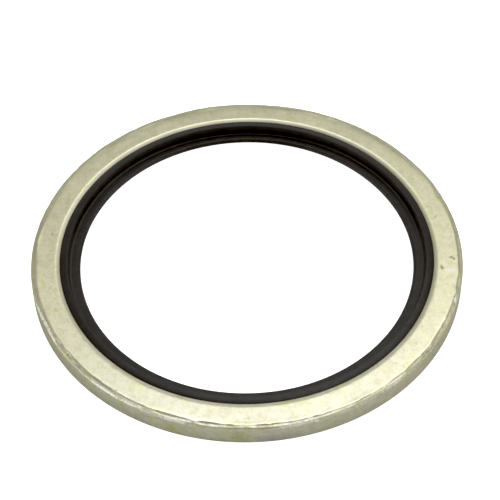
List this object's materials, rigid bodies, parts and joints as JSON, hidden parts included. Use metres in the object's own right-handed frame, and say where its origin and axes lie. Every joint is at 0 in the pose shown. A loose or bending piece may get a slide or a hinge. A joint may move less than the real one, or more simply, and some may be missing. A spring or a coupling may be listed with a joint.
{
  "type": "bonded sealing washer",
  "caption": "Flat zinc-plated steel ring with a black rubber sealing lip bonded round its bore, and a thin rubber web inside the lip that centres the washer on a thread.",
  "frame": {"origin": "centre of the bore, on the plane half way through the ring's thickness", "axes": "+Z along the bore axis, square to the ring's flat faces; X and Y lie in the mid-plane, and any turn about Z is the same part"},
  "size_m": [0.037, 0.037, 0.002],
  "materials": {
    "zinc_plated_steel": "zinc plated with a pale yellow-green passivate, satin, tumbled edges",
    "black_rubber": "moulded nitrile rubber, satin black"
  },
  "bodies": {
    "root": {"metal_ring": "zinc_plated_steel", "rubber_seal": "black_rubber"}
  },
  "joints": []
}
